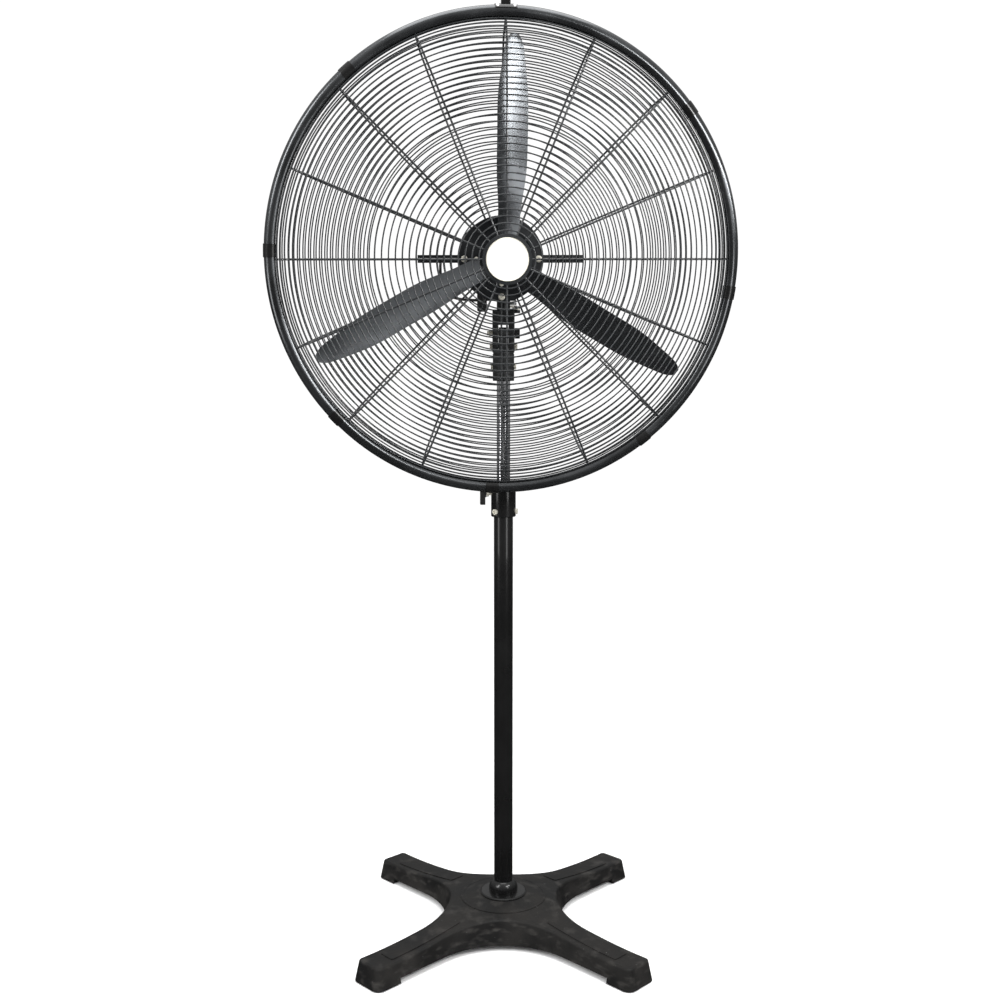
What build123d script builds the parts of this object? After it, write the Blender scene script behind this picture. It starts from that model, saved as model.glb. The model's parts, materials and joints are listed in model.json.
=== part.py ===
from build123d import *
from math import atan2, cos, degrees, hypot, radians, sin, tan
import os

# Industrial pedestal fan, nominal 750 mm sweep: a heavy cross base, a two-part telescopic
# column, a tilting and oscillating head, and a wire guard around three blades.
# World frame: +Z up, the fan blows towards -Y, origin on the floor under the column.

# ---------------------------------------------------------------- driving dimensions, mm

# base casting
ARM_REACH = 342.8           # from the column axis to the end of a foot
ARM_HALF_GROUND = 37.3      # half width of an arm at floor level
SIDE_DRAFT = 12.0           # degrees that the sides lean in
ARM_END_HEIGHT = 39.8
HUB_HEIGHT = 65.0
NOTCH_FILLET = 150.0        # plan radius between two arms
FOOT_CORNER = 17.0
FOOT_LENGTH = 51.0
ARCH_GAP = 11.0             # the arms stand this high off the floor between the feet
BASE_WALL = 9.0
PANEL_FROM = 130.0          # the raised panel on each arm, from the column axis outwards
PANEL_TO = 294.0
PANEL_HALF = 17.0
PANEL_RISE = 1.3
PAD_THICK = 3.0
PAD_RECESS = 1.0

# column
POLE_R = 18.0
POLE_WALL = 1.6
POLE_TOP = 846.0
TUBE_R = 12.5
TUBE_WALL = 1.5
TUBE_BOTTOM = 560.0
COLLAR_R = 23.2
COLLAR_BOTTOM = 798.0
COLLAR_TOP = 850.0
FLANGE_R = 44.0
SLIDE_FIT = 0.05            # radial clearance of a turning or sliding fit
LEVER_Z = 842.0

# neck
SOCKET_R = 20.0
SOCKET_BOTTOM = 1052.0
SOCKET_TOP = 1109.0
TILT_Z = 1116.0             # height of the tilt pivot
TILT_DOWN = 7.25            # degrees the head points down as modelled
SWING = 5.6                 # degrees the head is swung towards +X as modelled
LOCK_RISE = 24.0            # lock bolt above the tilt pivot
TONGUE_HALF = 9.0
CHEEK_IN = 9.3
CHEEK_OUT = 20.5
SWIVEL_R = 7.0

# head, measured from the centre of the guard rim on the motor axis
AXIS_RISE = 159.3           # motor axis above the tilt pivot, along the tilted neck
RIM_AHEAD = 110.8           # rim plane ahead of the swivel axis
AXIS_SIDE = -7.8            # motor axis beside the swivel axis
RIM_R = 413.0
RIM_TUBE_R = 11.0
RIM_WALL = 1.4
HOOP_R = 3.0
RIB_R = 1.8
RING_R = 1.2
RIB_COUNT = 16
WIRE_SIDES = 8              # the wires' sections are octagons, which keeps so many rings light
WELD_BITE = 0.05
BLADE_TIP_R = 372.0
BLADE_LEAN = -2.7           # degrees, where the first blade stands at rest
BLADE_PLANE = -14.0
PLATE_FRONT = -67.6
PLATE_R = 76.0
MOTOR_R = 74.0
MOTOR_SPLIT = -120.0
MOTOR_BACK = -165.0
GEARBOX_BACK = -206.0
CAP_BACK = -238.0
BADGE_FRONT = 36.0
BADGE_R = 36.8
SHAFT_R = 6.0

# swing linkage, in the plan view of the neck
CRANK_X = 10.0
CRANK_Y = 74.0
CRANK_THROW = 17.0
EAR_X = 24.0

# ---------------------------------------------------------------- frames


def shifted(plane, x=0.0, y=0.0, z=0.0, turn=(0, 0, 0)):
    """A plane moved and turned in the axes of another plane."""
    return Plane(plane.location * Location((x, y, z), turn))


# NECK turns with the tilt pivot, SWIVEL also swings with the head: x right, y back, z up.
NECK = shifted(Plane.XY, z=TILT_Z, turn=(TILT_DOWN, 0, 0))
SWIVEL = shifted(NECK, turn=(0, 0, SWING))
# HEAD looks along the motor axis: x right, y up, z towards the front.
HEAD = shifted(SWIVEL, x=AXIS_SIDE, y=-RIM_AHEAD, z=AXIS_RISE, turn=(90, 0, 0))
# In SECTION x is the radius from the motor axis and y runs to the front.
SECTION = shifted(HEAD, turn=(90, 0, 0))
HEAD_AXIS = Axis(HEAD.origin, HEAD.z_dir)
NECK_AXIS = Axis(NECK.origin, NECK.z_dir)


def spoke(angle, axial=0.0, radius=0.0):
    """A plane on the head whose z points outwards at an angle, x along the rim."""
    turned = shifted(HEAD, z=axial, turn=(0, 0, angle - 90))
    return shifted(turned, y=radius, turn=(-90, 0, 0))


os.makedirs("parts", exist_ok=True)


def save(part, name):
    part.label = name
    export_step(part, f"parts/{name}.step")


def ring_part(profile, plane=SECTION, axis=HEAD_AXIS):
    """A turned part: a closed outline of radius and height pairs, revolved."""
    with BuildPart() as turned:
        with BuildSketch(plane):
            with BuildLine():
                Polyline(*profile, close=True)
            make_face()
        revolve(axis=axis)
    return turned.part


# ---------------------------------------------------------------- base casting


def cross_outline(inset=0.0):
    """Plan of the four arms, with wide curves between them."""
    half = ARM_HALF_GROUND - inset
    reach = ARM_REACH - inset
    with BuildSketch() as outline:
        for angle in (45, 135):
            with Locations(Rotation(0, 0, angle)):
                Rectangle(2 * reach, 2 * half)
        corners = outline.vertices().sort_by(lambda v: hypot(v.X, v.Y))
        fillet(corners[:4], NOTCH_FILLET + inset)
        corners = outline.vertices().sort_by(lambda v: hypot(v.X, v.Y))
        fillet(corners[-8:], FOOT_CORNER - inset / 2)
    return outline.sketch


def crown(lower):
    """The domed top that the arms are cut to, lowered by an amount."""
    with BuildPart() as dome:
        with BuildSketch(Plane.XZ):
            with BuildLine():
                rim = ARM_REACH + 20
                end = ARM_END_HEIGHT - lower - (rim - ARM_REACH) * 0.06
                flat = Line((0, 0), (0, HUB_HEIGHT - lower))
                top = Line(flat @ 1, (46, HUB_HEIGHT - lower))
                shoulder = Spline(top @ 1, (80, 59.4 - lower), (118, 53.6 - lower),
                                  (ARM_REACH, ARM_END_HEIGHT - lower))
                drop = Polyline(shoulder @ 1, (rim, end), (rim, 0))
                Line(drop @ 1, (0, 0))
            make_face()
        revolve(axis=Axis.Z)
    return dome.part


with BuildPart() as hollow:
    add(extrude(cross_outline(BASE_WALL), amount=HUB_HEIGHT, taper=SIDE_DRAFT))
    add(crown(BASE_WALL), mode=Mode.INTERSECT)
    Cylinder(ARM_REACH - FOOT_LENGTH - BASE_WALL, HUB_HEIGHT * 2, mode=Mode.INTERSECT)
    Cylinder(36, HUB_HEIGHT * 2, mode=Mode.SUBTRACT)

PAD_R = 15.0
PAD_CENTRE = ARM_REACH - FOOT_LENGTH / 2 - 2
FOOT_RISE = PAD_THICK - PAD_RECESS

with BuildPart() as base_cross:
    add(extrude(cross_outline(), amount=HUB_HEIGHT + 4, taper=SIDE_DRAFT))
    add(crown(0.0), mode=Mode.INTERSECT)
    top_edges = base_cross.edges().filter_by(lambda e: e.center().Z > 34 and e.length > 8)
    fillet(top_edges, 4.5)
    add(hollow.part, mode=Mode.SUBTRACT)
    # the arms are arched, so that only the feet come down
    with BuildSketch(Plane.XY):
        Circle(ARM_REACH - FOOT_LENGTH)
    extrude(amount=ARCH_GAP, mode=Mode.SUBTRACT)
    Box(4 * ARM_REACH, 4 * ARM_REACH, 2 * FOOT_RISE, mode=Mode.SUBTRACT)
    with PolarLocations(PAD_CENTRE, 4, start_angle=45):
        Cylinder(PAD_R + 0.02, 2 * PAD_THICK, mode=Mode.SUBTRACT)
    # bolt hole, and a recess for the nut below the hub
    Cylinder(8.3, 3 * HUB_HEIGHT, mode=Mode.SUBTRACT)
    with BuildSketch(Plane.XY):
        Circle(24)
    extrude(amount=30, mode=Mode.SUBTRACT)
    # a low raised panel along the top of each arm
    with BuildPart(mode=Mode.PRIVATE) as panels:
        with BuildSketch(Plane.XY.offset(ARM_END_HEIGHT - 4)):
            with PolarLocations((PANEL_FROM + PANEL_TO) / 2, 4, start_angle=45):
                RectangleRounded(PANEL_TO - PANEL_FROM, 2 * PANEL_HALF, 5)
        extrude(amount=30)
        add(crown(-PANEL_RISE), mode=Mode.INTERSECT)
    add(panels.part)
    # a raised ring round the column seat
    with BuildSketch(Plane.XZ):
        with Locations((80, 58.9)):
            Rectangle(5, 2.4)
    revolve(axis=Axis.Z)
save(base_cross.part, "base_cross")

with BuildPart() as foot_pads:
    with PolarLocations(PAD_CENTRE, 4, start_angle=45):
        Cylinder(PAD_R, PAD_THICK, align=(Align.CENTER, Align.CENTER, Align.MIN))
    chamfer(foot_pads.faces().group_by(Axis.Z)[0].edges(), 0.8)
save(foot_pads.part, "foot_pads")

# ---------------------------------------------------------------- column

with BuildPart() as pole_flange:
    with BuildSketch(Plane.XZ):
        with BuildLine():
            inner = POLE_R + SLIDE_FIT
            rim = Polyline((inner, HUB_HEIGHT), (FLANGE_R, HUB_HEIGHT), (FLANGE_R, HUB_HEIGHT + 2),
                           (FLANGE_R - 2, HUB_HEIGHT + 4), (27.5, HUB_HEIGHT + 5))
            bulge = ThreePointArc(rim @ 1, (26.8, HUB_HEIGHT + 15), (inner + 1.5, HUB_HEIGHT + 25.5))
            Polyline(bulge @ 1, (inner, HUB_HEIGHT + 25.5), (inner, HUB_HEIGHT))
        make_face()
    revolve(axis=Axis.Z)
save(pole_flange.part, "pole_flange")


def tube(outer, inner, bottom, top):
    """A round tube on the column axis."""
    with BuildPart() as pipe:
        with BuildSketch(Plane.XY.offset(bottom)):
            Circle(outer)
            Circle(inner, mode=Mode.SUBTRACT)
        extrude(amount=top - bottom)
    return pipe


def lever_hole(radius):
    """The clamp screw's way in, from the left."""
    plane = Plane(origin=(-COLLAR_R - 5, 0, LEVER_Z), x_dir=(0, 1, 0), z_dir=(1, 0, 0))
    with BuildSketch(plane) as hole:
        Circle(radius)
    return extrude(hole.sketch, amount=COLLAR_R + 5 - 1)


SCREW_R = 4.0
SCREW_HOLE_R = SCREW_R + SLIDE_FIT
POLE_BORE = POLE_R - POLE_WALL
with BuildPart() as outer_pole:
    add(tube(POLE_R, POLE_BORE, HUB_HEIGHT, POLE_TOP).part)
    add(lever_hole(SCREW_HOLE_R), mode=Mode.SUBTRACT)
save(outer_pole.part, "outer_pole")

with BuildPart() as pole_stud:
    with BuildSketch(Plane.XY.offset(HUB_HEIGHT)):
        Circle(POLE_BORE - 0.02)
    extrude(amount=35)
    with BuildSketch(Plane.XY.offset(10)):
        Circle(8)
    extrude(amount=HUB_HEIGHT - 10)
    chamfer(pole_stud.faces().sort_by(Axis.Z)[0].edges(), 1.2)
save(pole_stud.part, "pole_stud")

NUT_SEAT = 30.0
with BuildPart() as base_nut:
    with BuildSketch(Plane.XY.offset(NUT_SEAT - 16)):
        RegularPolygon(12, 6, major_radius=False)
    extrude(amount=16)
    with BuildSketch(Plane.XY.offset(NUT_SEAT - 3)):
        Circle(19)
    extrude(amount=3)
    Cylinder(8.02, 3 * HUB_HEIGHT, mode=Mode.SUBTRACT)
save(base_nut.part, "base_nut")

# the collar's three grub screws stand at these angles, the rear one out of sight
COLLAR_SCREW_ANGLES = (230, 350, 110)
COLLAR_SCREW_Z = 808.0


def collar_plane(angle, radius):
    """A plane on the collar, facing outwards."""
    a = radians(angle)
    out = (cos(a), sin(a), 0)
    at = (radius * cos(a), radius * sin(a), COLLAR_SCREW_Z)
    return Plane(origin=at, x_dir=(-sin(a), cos(a), 0), z_dir=out)


with BuildPart() as pole_collar:
    with BuildSketch(Plane.XZ):
        with BuildLine():
            inner = POLE_R + SLIDE_FIT
            lip = TUBE_R + 0.35
            Polyline((inner, COLLAR_BOTTOM), (COLLAR_R - 1.2, COLLAR_BOTTOM),
                     (COLLAR_R, COLLAR_BOTTOM + 1.2), (COLLAR_R, COLLAR_TOP - 1.5),
                     (COLLAR_R - 1.5, COLLAR_TOP), (lip, COLLAR_TOP),
                     (lip, POLE_TOP), (inner, POLE_TOP), close=True)
        make_face()
    revolve(axis=Axis.Z)
    add(lever_hole(SCREW_HOLE_R), mode=Mode.SUBTRACT)
    for angle in COLLAR_SCREW_ANGLES:
        with BuildSketch(collar_plane(angle, POLE_R + 0.4)):
            Circle(3.02)
        extrude(amount=10, mode=Mode.SUBTRACT)
save(pole_collar.part, "pole_collar")

with BuildPart() as collar_screws:
    for angle in COLLAR_SCREW_ANGLES:
        with BuildSketch(collar_plane(angle, POLE_R + 0.5)):
            Circle(3)
        extrude(amount=COLLAR_R - POLE_R)
        with BuildSketch(collar_plane(angle, COLLAR_R + 0.02)):
            Circle(5.2)
        extrude(amount=3.4)
        with BuildSketch(collar_plane(angle, COLLAR_R + 1.4)):
            RegularPolygon(2.6, 6, major_radius=False)
        extrude(amount=6, mode=Mode.SUBTRACT)
save(collar_screws.part, "collar_screws")

with BuildPart() as guide_bush:
    add(tube(POLE_BORE - 0.02, TUBE_R + SLIDE_FIT, COLLAR_BOTTOM + 2, POLE_TOP - 0.5).part)
    add(lever_hole(SCREW_HOLE_R), mode=Mode.SUBTRACT)
save(guide_bush.part, "guide_bush")

# clamp screw and its T handle, on the collar's left
LEVER_PLANE = Plane(origin=(-TUBE_R - 0.35, 0, LEVER_Z), x_dir=(0, 1, 0), z_dir=(-1, 0, 0))
LEVER_IN = 21.2             # inner face of the handle, outwards from the screw's tip
LEVER_THICK = 10.0
with BuildPart() as clamp_screw:
    with BuildSketch(LEVER_PLANE):
        Circle(SCREW_R)
    extrude(amount=LEVER_IN + 6)
    with BuildSketch(LEVER_PLANE.offset(14.4)):
        RegularPolygon(6.5, 6, major_radius=False)
    extrude(amount=4.5)
save(clamp_screw.part, "clamp_screw")

with BuildPart() as height_lever:
    with BuildSketch(LEVER_PLANE.offset(LEVER_IN)):
        with BuildLine():
            # a bar that tapers downwards, round at both ends
            low = Line((-4.2, -19), (-6, 16))
            crest = TangentArc(low @ 1, (6, 16), tangent=low % 1)
            side = Line(crest @ 1, (4.2, -19))
            TangentArc(side @ 1, low @ 0, tangent=side % 1)
        make_face()
    extrude(amount=LEVER_THICK)
    fillet(height_lever.edges().group_by(Axis.X)[0], 2)
    with BuildSketch(LEVER_PLANE.offset(LEVER_IN - 2)):
        Circle(8)
    extrude(amount=2)
    with BuildSketch(LEVER_PLANE.offset(LEVER_IN - 4)):
        Circle(SCREW_R + 0.02)
    extrude(amount=4 + 6.02, mode=Mode.SUBTRACT)
save(height_lever.part, "height_lever")

with BuildPart() as inner_tube:
    add(tube(TUBE_R, TUBE_R - TUBE_WALL, TUBE_BOTTOM, SOCKET_TOP - 9).part)
save(inner_tube.part, "inner_tube")

with BuildPart() as tube_plug:
    with BuildSketch(Plane.XY.offset(TUBE_BOTTOM - 8)):
        Circle(POLE_BORE - SLIDE_FIT)
    extrude(amount=8)
    with BuildSketch(Plane.XY.offset(TUBE_BOTTOM)):
        Circle(TUBE_R - TUBE_WALL - 0.02)
    extrude(amount=25)
    Cylinder(6, 3000, mode=Mode.SUBTRACT)
save(tube_plug.part, "tube_plug")

# ---------------------------------------------------------------- neck

SOCKET_SCREW_Z = 1078.0


def across(height, depth=0.0, x=0.0):
    """A plane that faces +X at a height above the floor."""
    return Plane(origin=(x, depth, height), x_dir=(0, 1, 0), z_dir=(1, 0, 0))


PIVOT_R = 4.0
with BuildPart() as neck_socket:
    with BuildSketch(Plane.XY.offset(SOCKET_BOTTOM)):
        Circle(SOCKET_R)
    extrude(amount=SOCKET_TOP - SOCKET_BOTTOM - 3)
    fillet(neck_socket.edges().group_by(Axis.Z)[-1], 2.5)
    chamfer(neck_socket.edges().group_by(Axis.Z)[0], 0.8)
    # the tongue that the tilting bracket straddles
    with BuildSketch(across(TILT_Z, x=-TONGUE_HALF)):
        Rectangle(26, 20, align=(Align.CENTER, Align.MAX))
        Circle(13)
        with Locations((0, LOCK_RISE / 2)):
            Rectangle(22, LOCK_RISE)
        with Locations((0, LOCK_RISE)):
            Circle(11)
    extrude(amount=2 * TONGUE_HALF)
    for z in (TILT_Z, TILT_Z + LOCK_RISE):
        with BuildSketch(across(z, x=-30)):
            Circle(PIVOT_R + SLIDE_FIT)
        extrude(amount=60, mode=Mode.SUBTRACT)
    with BuildSketch(Plane.XY.offset(SOCKET_BOTTOM)):
        Circle(TUBE_R + 0.02)
    extrude(amount=SOCKET_TOP - 9 - SOCKET_BOTTOM, mode=Mode.SUBTRACT)
    with BuildSketch(across(SOCKET_SCREW_Z, x=-30)):
        Circle(3.02)
    extrude(amount=60, mode=Mode.SUBTRACT)
    # room for the bracket's round lower ends
    for side in (-1, 1):
        with BuildSketch(across(TILT_Z, x=side * (CHEEK_IN + 15) - 15.3)):
            Circle(14.6)
        extrude(amount=30.6, mode=Mode.SUBTRACT)
save(neck_socket.part, "neck_socket")

with BuildPart() as socket_screws:
    for side in (-1, 1):
        out = Plane(origin=(side * (TUBE_R + 0.1), 0, SOCKET_SCREW_Z), x_dir=(0, 1, 0), z_dir=(side, 0, 0))
        with BuildSketch(out):
            Circle(3)
        extrude(amount=SOCKET_R - TUBE_R)
        with BuildSketch(out.offset(SOCKET_R - TUBE_R)):
            Circle(4.6)
        extrude(amount=3.6)
        with BuildSketch(out.offset(SOCKET_R - TUBE_R + 1.4)):
            RegularPolygon(2.2, 6, major_radius=False)
        extrude(amount=6, mode=Mode.SUBTRACT)
save(socket_screws.part, "socket_screws")

BLOCK_LOW = 40.0            # the bracket's solid block, above the pivot along the neck
BLOCK_TOP = 67.0
TILT_UP = 25.0              # degrees the head tilts up from its modelled place, and down
TILT_DROP = 3.0
SLOT_START = 180 - TILT_DOWN - TILT_DROP - 1
SLOT_ARC = TILT_UP + TILT_DROP + 2
SLOT_HALF = 4.4
with BuildPart() as tilt_bracket:
    # two cheeks round the tongue
    for side in (-1, 1):
        start = -CHEEK_OUT if side < 0 else CHEEK_IN
        with BuildSketch(shifted(NECK, x=start, turn=(0, 90, 0))):
            # here x points down the neck and y to the back
            Circle(13)
            with Locations((-BLOCK_TOP / 2, 0)):
                Rectangle(BLOCK_TOP, 26)
        extrude(amount=CHEEK_OUT - CHEEK_IN)
    with BuildSketch(shifted(NECK, z=BLOCK_LOW)):
        Rectangle(2 * CHEEK_OUT, 26)
    extrude(amount=BLOCK_TOP - BLOCK_LOW)
    upright = tilt_bracket.edges().filter_by(lambda e: abs(e.tangent_at(0.5).dot(NECK.z_dir)) > 0.99)
    fillet(upright.filter_by(lambda e: e.length > 30), 3)
    # pivot hole, and the curved slots that the lock bolt runs in
    with BuildSketch(shifted(NECK, turn=(0, 90, 0))):
        Circle(PIVOT_R + SLIDE_FIT)
    extrude(amount=30, both=True, mode=Mode.SUBTRACT)
    with BuildSketch(shifted(NECK, turn=(0, 90, 0))):
        with BuildLine():
            outer = CenterArc((0, 0), LOCK_RISE + SLOT_HALF, SLOT_START, SLOT_ARC)
            inner = CenterArc((0, 0), LOCK_RISE - SLOT_HALF, SLOT_START, SLOT_ARC)
            Line(outer @ 0, inner @ 0)
            Line(outer @ 1, inner @ 1)
        make_face()
        for end in (SLOT_START, SLOT_START + SLOT_ARC):
            with PolarLocations(LOCK_RISE, 1, start_angle=end):
                Circle(SLOT_HALF)
    extrude(amount=30, both=True, mode=Mode.SUBTRACT)
    # seat of the swivel pin
    with BuildSketch(shifted(NECK, z=BLOCK_LOW + 4)):
        Circle(SWIVEL_R + 0.02)
    extrude(amount=40, mode=Mode.SUBTRACT)
    # the ear that carries the swing link
    with BuildSketch(shifted(NECK, z=BLOCK_TOP - 6)):
        with Locations((EAR_X, 0)):
            Circle(7)
        with Locations((EAR_X - 5, 0)):
            Rectangle(10, 14)
    extrude(amount=5.5)
    with BuildSketch(shifted(NECK, z=BLOCK_TOP - 20)):
        with Locations((EAR_X, 0)):
            Circle(3.02)
    extrude(amount=30, mode=Mode.SUBTRACT)
save(tilt_bracket.part, "tilt_bracket")

with BuildPart() as pivot_bolt:
    # pivot bolt: head on the right, nut on the left
    with BuildSketch(across(TILT_Z, x=-CHEEK_OUT - 5)):
        Circle(PIVOT_R)
    extrude(amount=2 * CHEEK_OUT + 7)
    with BuildSketch(across(TILT_Z, x=CHEEK_OUT + 0.1)):
        RegularPolygon(5.5, 6, major_radius=False)
    extrude(amount=5.3)
save(pivot_bolt.part, "pivot_bolt")

with BuildPart() as pivot_nut:
    with BuildSketch(across(TILT_Z, x=-CHEEK_OUT - 5.1)):
        RegularPolygon(5.5, 6, major_radius=False)
        Circle(PIVOT_R + 0.02, mode=Mode.SUBTRACT)
    extrude(amount=5)
save(pivot_nut.part, "pivot_nut")

LOCK_Z = TILT_Z + LOCK_RISE
with BuildPart() as lock_bolt:
    with BuildSketch(across(LOCK_Z, x=-CHEEK_OUT - 10)):
        Circle(PIVOT_R)
    extrude(amount=2 * CHEEK_OUT + 16)
    with BuildSketch(across(LOCK_Z, x=-CHEEK_OUT - 6.4)):
        RegularPolygon(5.5, 6, major_radius=False)
    extrude(amount=5.3)
save(lock_bolt.part, "lock_bolt")

LOBE_COUNT = 5
with BuildPart() as tilt_knob:
    with BuildSketch(across(LOCK_Z, x=CHEEK_OUT + 0.4)):
        Circle(8.6)
        with PolarLocations(7.0, LOBE_COUNT):
            Circle(3.2)
    extrude(amount=9.5)
    fillet(tilt_knob.edges().group_by(Axis.X)[-1], 1.2)
    with BuildSketch(across(LOCK_Z, x=CHEEK_OUT)):
        Circle(PIVOT_R + SLIDE_FIT)
    extrude(amount=8, mode=Mode.SUBTRACT)
save(tilt_knob.part, "tilt_knob")

MOTOR_LOW = AXIS_RISE - MOTOR_R     # underside of the motor, above the tilt pivot
PIN_TOP = 81.0
with BuildPart() as swivel_pin:
    with BuildSketch(shifted(NECK, z=BLOCK_LOW + 4)):
        Circle(SWIVEL_R)
    extrude(amount=PIN_TOP - BLOCK_LOW - 4)
    chamfer(swivel_pin.faces().sort_by(NECK_AXIS)[-1].edges(), 0.8)
save(swivel_pin.part, "swivel_pin")

with BuildPart() as link_pin:
    with BuildSketch(shifted(NECK, z=BLOCK_TOP - 6)):
        with Locations((EAR_X, 0)):
            Circle(3)
    extrude(amount=12.5)
    with BuildSketch(shifted(NECK, z=BLOCK_TOP + 5.2)):
        with Locations((EAR_X, 0)):
            Circle(4.6)
    extrude(amount=1.6)
save(link_pin.part, "link_pin")

# ---------------------------------------------------------------- swing linkage
# The crank turns twice as far as the head swings. At mid stroke its pin stands square
# to the link, and the link is as long as that needs.

crank_angle = -2 * SWING
pin_x = CRANK_X + CRANK_THROW * cos(radians(crank_angle))
pin_y = CRANK_Y + CRANK_THROW * sin(radians(crank_angle))
swing = radians(SWING)
pin_neck_x = pin_x * cos(swing) - pin_y * sin(swing)
pin_neck_y = pin_x * sin(swing) + pin_y * cos(swing)
LINK_LENGTH = hypot(pin_neck_x - EAR_X, pin_neck_y)
LINK_ANGLE = degrees(atan2(pin_neck_y, pin_neck_x - EAR_X))
LINK_LOW = BLOCK_TOP + 0.4
LINK_THICK = 4.0
CRANK_LOW = LINK_LOW + LINK_THICK + 1.2

with BuildPart() as swing_link:
    with BuildSketch(shifted(NECK, x=EAR_X, z=LINK_LOW, turn=(0, 0, LINK_ANGLE))):
        with Locations((LINK_LENGTH / 2, 0)):
            Rectangle(LINK_LENGTH, 8)
        Circle(6.5)
        with Locations((LINK_LENGTH, 0)):
            Circle(6.5)
        Circle(3 + SLIDE_FIT, mode=Mode.SUBTRACT)
        with Locations((LINK_LENGTH, 0)):
            Circle(3.3, mode=Mode.SUBTRACT)
    extrude(amount=LINK_THICK)
save(swing_link.part, "swing_link")

GEAR_R = 12.4
WORM_R = 5.0
CASE_LOW = AXIS_RISE - 40           # underside of the gearbox
with BuildPart() as crank:
    # arm with its pin, spindle, and the worm wheel inside the gearbox
    with BuildSketch(shifted(SWIVEL, x=CRANK_X, y=CRANK_Y, z=CRANK_LOW, turn=(0, 0, crank_angle))):
        with Locations((CRANK_THROW / 2, 0)):
            Rectangle(CRANK_THROW, 11)
        Circle(8)
        with Locations((CRANK_THROW, 0)):
            Circle(5.5)
    extrude(amount=4.5)
    with BuildSketch(shifted(SWIVEL, x=CRANK_X, y=CRANK_Y, z=CRANK_LOW + 4)):
        Circle(4.5)
    extrude(amount=AXIS_RISE + 14 - CRANK_LOW - 4)
save(crank.part, "crank_arm")

WHEEL_TEETH = 24
with BuildPart() as worm_wheel:
    with BuildSketch(shifted(SWIVEL, x=CRANK_X, y=CRANK_Y, z=AXIS_RISE - 5)):
        Circle(GEAR_R - 1.8)
        with PolarLocations(GEAR_R - 1.6, WHEEL_TEETH):
            Trapezoid(3.6, 1.7, 78, rotation=-90)
        Circle(4.52, mode=Mode.SUBTRACT)
    extrude(amount=10)
save(worm_wheel.part, "worm_wheel")

# ---------------------------------------------------------------- motor


def head_disc(radius, back, front, bore=0.0):
    """A plain round piece on the motor axis."""
    with BuildPart() as disc:
        with BuildSketch(shifted(HEAD, z=back)):
            Circle(radius)
            if bore > 0:
                Circle(bore, mode=Mode.SUBTRACT)
        extrude(amount=front - back)
    return disc


SHELL_WALL = 3.5
BEARING_R = 16.0
MOTOR_FRONT = PLATE_FRONT - 7.0
FRONT_BEARING = (MOTOR_FRONT - 13.0, MOTOR_FRONT - 3.0)
REAR_BEARING = (MOTOR_BACK + 3.0, MOTOR_BACK + 13.0)
BEARING_FIT = 0.02
FIN_COUNT = 24
with BuildPart() as motor_front_shell:
    with BuildSketch(SECTION):
        with BuildLine():
            r, w = MOTOR_R, SHELL_WALL
            Polyline((SHAFT_R + 2, MOTOR_FRONT), (r - 2, MOTOR_FRONT), (r, MOTOR_FRONT - 2),
                     (r, MOTOR_SPLIT), (r - w, MOTOR_SPLIT), (r - w, MOTOR_FRONT - 7),
                     (r - w - 4, MOTOR_FRONT - w),
                     (BEARING_R + 4, MOTOR_FRONT - w), (BEARING_R + 4, FRONT_BEARING[0]),
                     (BEARING_R + BEARING_FIT, FRONT_BEARING[0]),
                     (BEARING_R + BEARING_FIT, FRONT_BEARING[1]),
                     (SHAFT_R + 2, FRONT_BEARING[1]), close=True)
        make_face()
    revolve(axis=HEAD_AXIS)
    for k in range(FIN_COUNT):
        angle = (k + 0.5) * 360 / FIN_COUNT
        with BuildSketch(spoke(angle, axial=(MOTOR_FRONT + MOTOR_SPLIT) / 2 - 2, radius=r - w - 1)):
            SlotOverall(28, 5, rotation=90)
        extrude(amount=8, mode=Mode.SUBTRACT)
save(motor_front_shell.part, "motor_front_shell")

with BuildPart() as motor_rear_shell:
    with BuildSketch(SECTION):
        with BuildLine():
            Polyline((SHAFT_R + 2, MOTOR_BACK), (r - 8, MOTOR_BACK), (r, MOTOR_BACK + 8),
                     (r, MOTOR_SPLIT - 0.1), (r - w, MOTOR_SPLIT - 0.1), (r - w, MOTOR_BACK + 9),
                     (r - w - 5, MOTOR_BACK + w),
                     (BEARING_R + 4, MOTOR_BACK + w), (BEARING_R + 4, REAR_BEARING[1]),
                     (BEARING_R + BEARING_FIT, REAR_BEARING[1]), (BEARING_R + BEARING_FIT, REAR_BEARING[0]),
                     (SHAFT_R + 2, REAR_BEARING[0]), close=True)
        make_face()
    revolve(axis=HEAD_AXIS)
    for k in range(FIN_COUNT):
        angle = (k + 0.5) * 360 / FIN_COUNT
        if 210 < angle < 330:
            continue        # no vents where the saddle and the gland sit
        with BuildSketch(spoke(angle, axial=(MOTOR_BACK + MOTOR_SPLIT) / 2 + 1, radius=r - w - 1)):
            SlotOverall(26, 5, rotation=90)
        extrude(amount=8, mode=Mode.SUBTRACT)
save(motor_rear_shell.part, "motor_rear_shell")


with BuildPart() as shaft_bearings:
    # deep groove bearings, each with its races and shields as one closed piece
    for back, front in (FRONT_BEARING, REAR_BEARING):
        with BuildSketch(SECTION):
            with BuildLine():
                Polyline((SHAFT_R + 0.02, back), (9.4, back), (9.4, back + 0.8), (12.4, back + 0.8),
                         (12.4, back), (BEARING_R, back), (BEARING_R, front), (12.4, front),
                         (12.4, front - 0.8), (9.4, front - 0.8), (9.4, front), (SHAFT_R + 0.02, front),
                         close=True)
            make_face()
        revolve(axis=HEAD_AXIS)
save(shaft_bearings.part, "shaft_bearings")

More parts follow.
